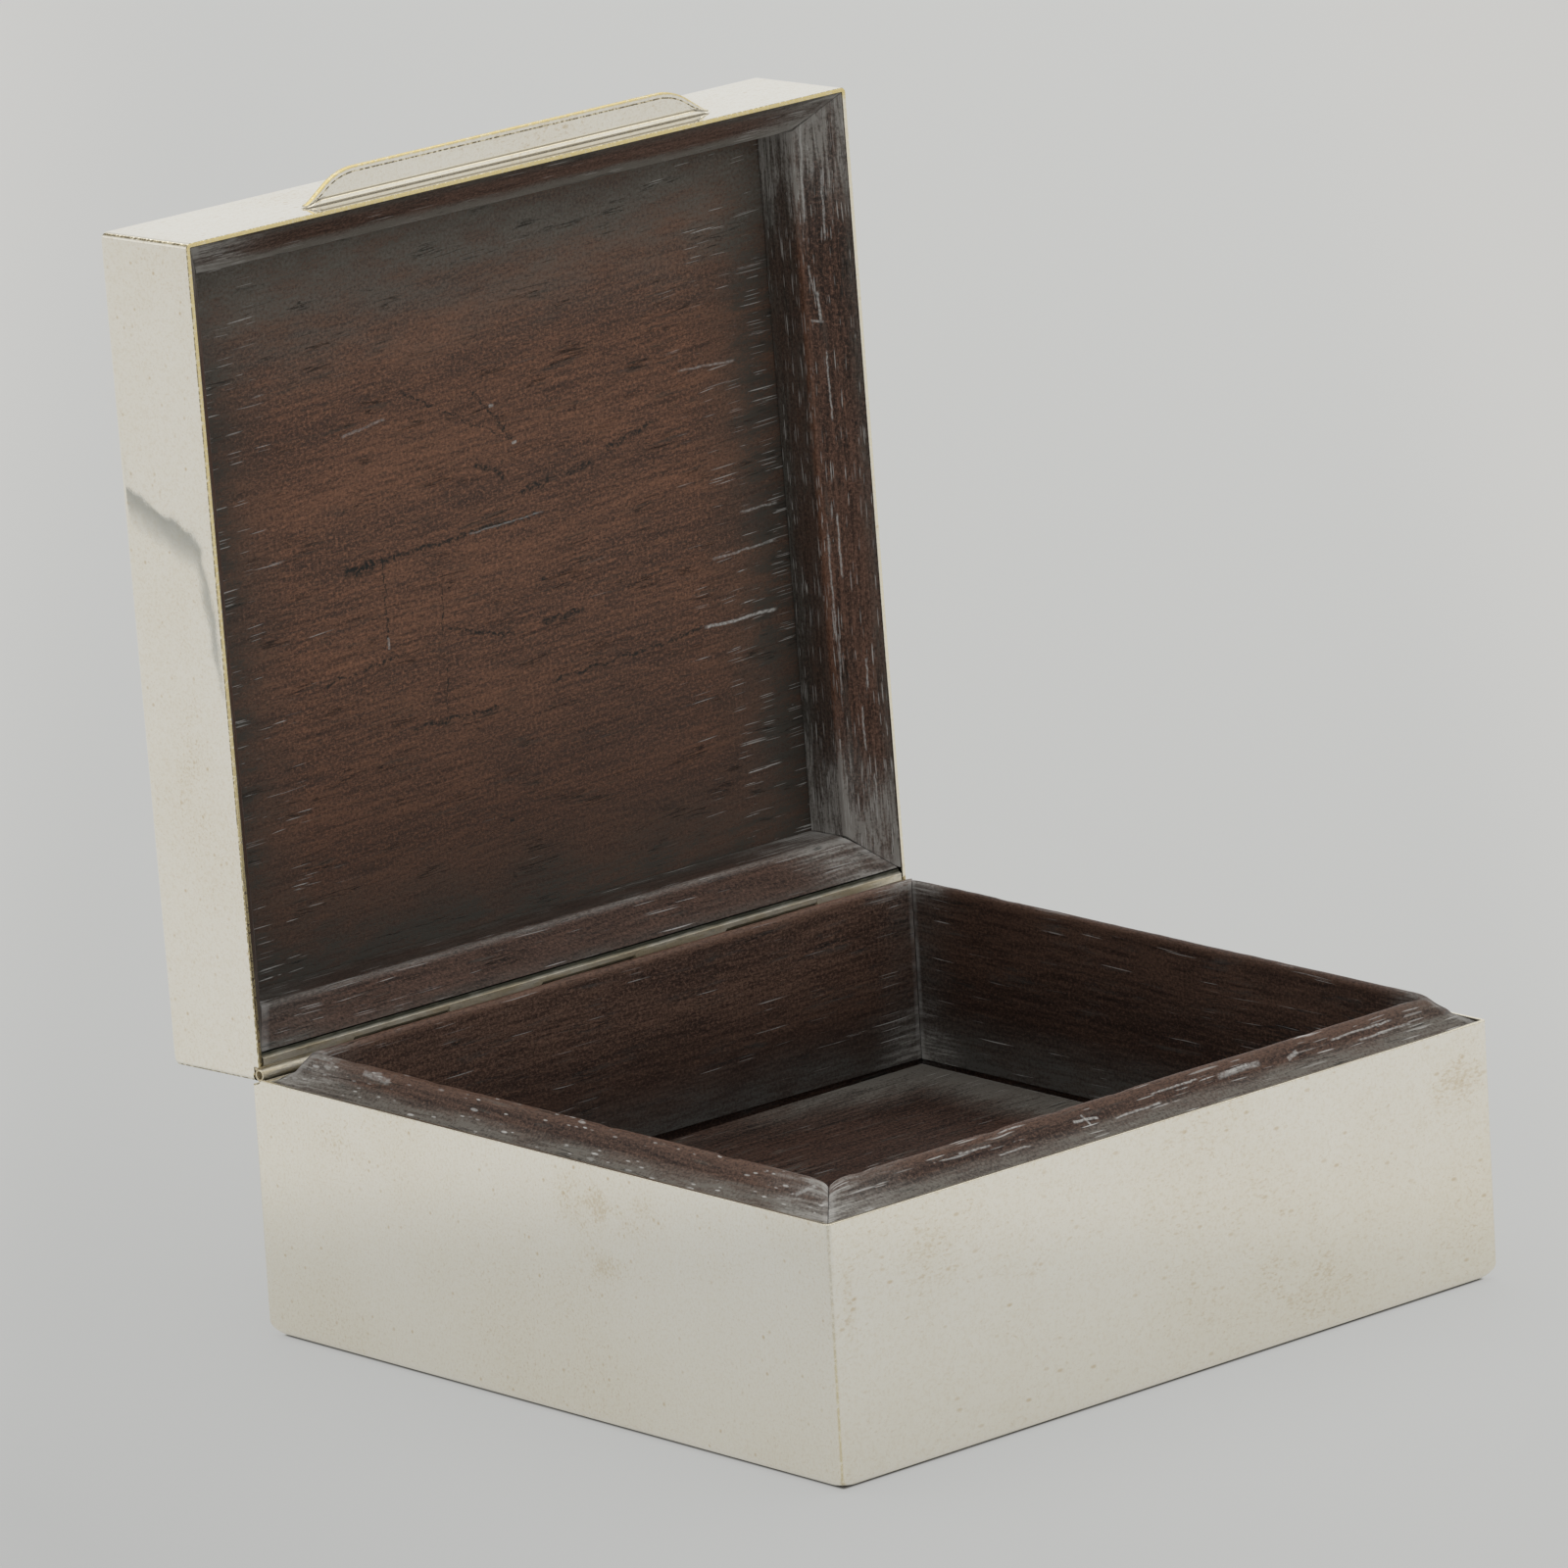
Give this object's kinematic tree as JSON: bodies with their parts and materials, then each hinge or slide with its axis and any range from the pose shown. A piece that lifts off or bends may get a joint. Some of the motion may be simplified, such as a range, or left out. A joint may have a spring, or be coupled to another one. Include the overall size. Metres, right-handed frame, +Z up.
{
  "type": "cigar box",
  "caption": "Rectangular silver cigar box lined with dark mitred wood, its back-hinged lid standing open, with a slim thumb piece along the front edge of the lid.",
  "frame": {"origin": "middle of the padded underside, on the surface that the box stands on", "axes": "+Z up, +X along the front from left to right, +Y from the front to the hinge"},
  "size_m": [0.16, 0.1815, 0.2064],
  "materials": {
    "silver": "polished silver, lightly speckled with age",
    "tarnished_silver": "dull silver with a brassy tarnish",
    "pin_metal": "dull",
    "panel_wood": "reddish brown, open grained, worn satin",
    "frame_wood": "dark brown, rubbed and bloomed",
    "lining_wood": "very dark brown, worn satin",
    "board_wood": "raw",
    "baize": "felted"
  },
  "bodies": {
    "base": {"base_case": "silver", "bottom_board": "board_wood", "baize_pad": "baize", "floor_panel": "lining_wood", "liner_front": "lining_wood", "liner_right": "lining_wood", "liner_back": "lining_wood", "liner_left": "lining_wood", "base_hinge_bearer": "tarnished_silver", "hinge_pin": "pin_metal", "base_knuckle_1": "tarnished_silver", "base_knuckle_2": "tarnished_silver", "base_knuckle_3": "tarnished_silver"},
    "lid": {"lid_case": "silver", "lid_panel": "panel_wood", "lid_frame_front": "frame_wood", "lid_frame_right": "frame_wood", "lid_frame_back": "frame_wood", "lid_frame_left": "frame_wood", "lid_hinge_bearer": "tarnished_silver", "thumb_piece": "silver", "lid_knuckle_1": "tarnished_silver", "lid_knuckle_2": "tarnished_silver", "lid_knuckle_3": "tarnished_silver", "lid_knuckle_4": "tarnished_silver"}
  },
  "joints": [
    {"name": "lid_hinge", "type": "hinge", "parent": "base", "child": "lid", "pos_m": [0, 0.07545, 0.0488], "axis": [1, 0, 0], "range_deg": [0, 91.7]}
  ]
}
